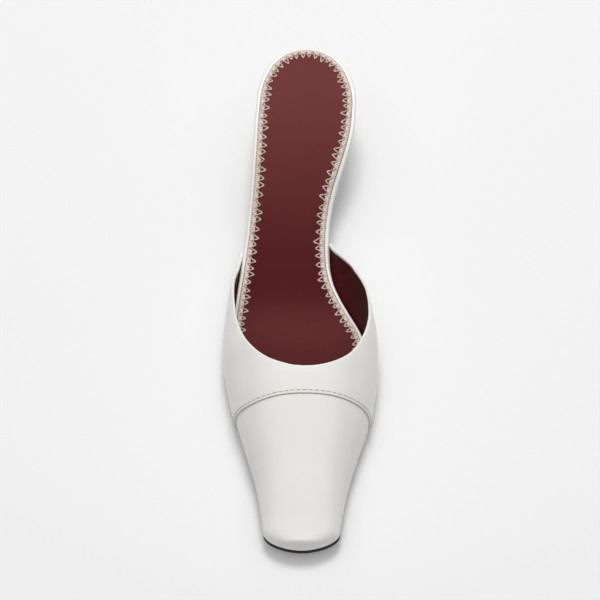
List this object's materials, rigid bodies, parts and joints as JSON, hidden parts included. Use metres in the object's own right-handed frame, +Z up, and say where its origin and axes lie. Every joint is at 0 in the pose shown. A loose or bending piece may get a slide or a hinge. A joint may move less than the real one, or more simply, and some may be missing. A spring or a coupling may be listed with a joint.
{
  "type": "mule shoe",
  "caption": "Right foot's heeled mule with a soft square toe, a seamed toe cap, a low throat, a wrapped footbed and a covered heel.",
  "frame": {"origin": "middle of the shoe's box in plan, at the level of the floor it stands on", "axes": "+Z up, +Y from toe to heel along the length, +X towards the inner side of the right foot"},
  "size_m": [0.0758, 0.26, 0.0481],
  "materials": {
    "outsole": "near-black, smooth satin edge and underside",
    "board_wrap": "off-white smooth leather, semi-gloss",
    "sock": "dark burgundy smooth leather, soft sheen",
    "upper": "off-white smooth leather, semi-gloss",
    "heel_cover": "off-white smooth leather, semi-gloss",
    "top_lift": "near-black, matte"
  },
  "bodies": {
    "root": {"outsole": "outsole", "insole_board": "board_wrap", "sock": "sock", "upper": "upper", "heel": "heel_cover", "top_lift": "top_lift"}
  },
  "joints": []
}
